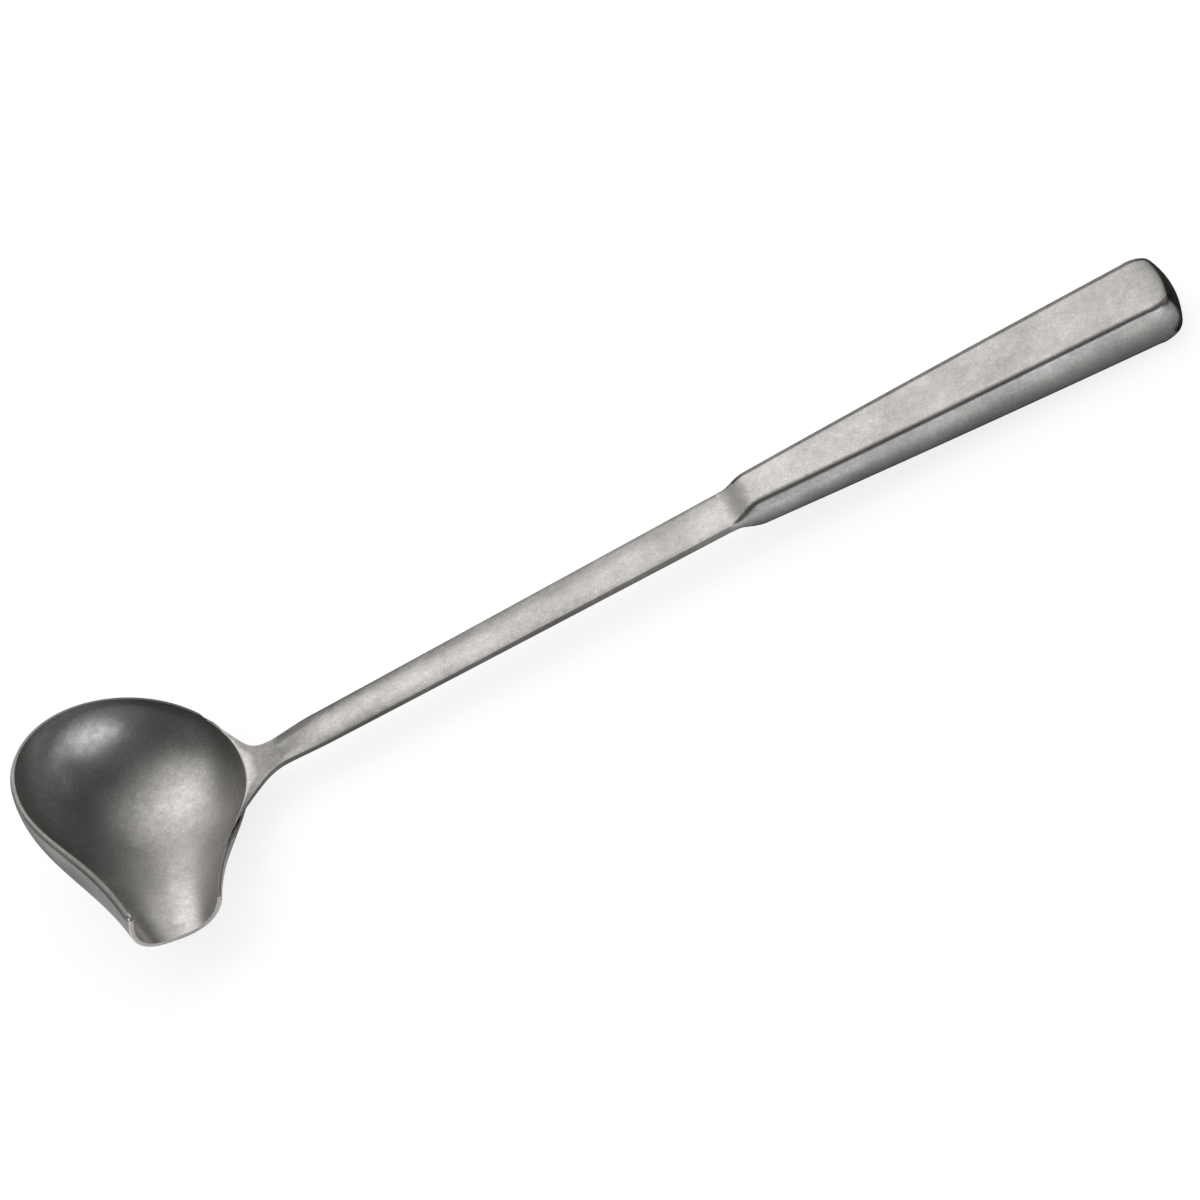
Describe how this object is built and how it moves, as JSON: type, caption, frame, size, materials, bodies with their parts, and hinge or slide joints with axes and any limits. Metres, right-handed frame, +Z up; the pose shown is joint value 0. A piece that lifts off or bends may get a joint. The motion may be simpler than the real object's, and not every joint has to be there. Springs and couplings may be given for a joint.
{
  "type": "gravy ladle",
  "caption": "Steel gravy ladle with a round bowl drawn out sideways to a cut-off pouring spout, a flat rising shank and a hollow, flat-topped handle that widens to a domed end.",
  "frame": {"origin": "middle of the underside of the ladle as it lies on a table, resting on the bowl and on the tail of the handle", "axes": "+X from the bowl to the end of the handle, the spout towards -Y, +Z up"},
  "size_m": [0.3046, 0.0784, 0.0352],
  "materials": {
    "bowl_steel": "stonewashed, fine matte grain",
    "handle_steel": "stonewashed, fine matte grain",
    "weld_steel": "ground flush and stonewashed"
  },
  "bodies": {
    "root": {"bowl_and_shank": "bowl_steel", "handle_upper_shell": "handle_steel", "handle_lower_shell": "handle_steel", "handle_seam_weld": "weld_steel", "mouth_weld_upper": "weld_steel", "mouth_weld_lower": "weld_steel"}
  },
  "joints": []
}
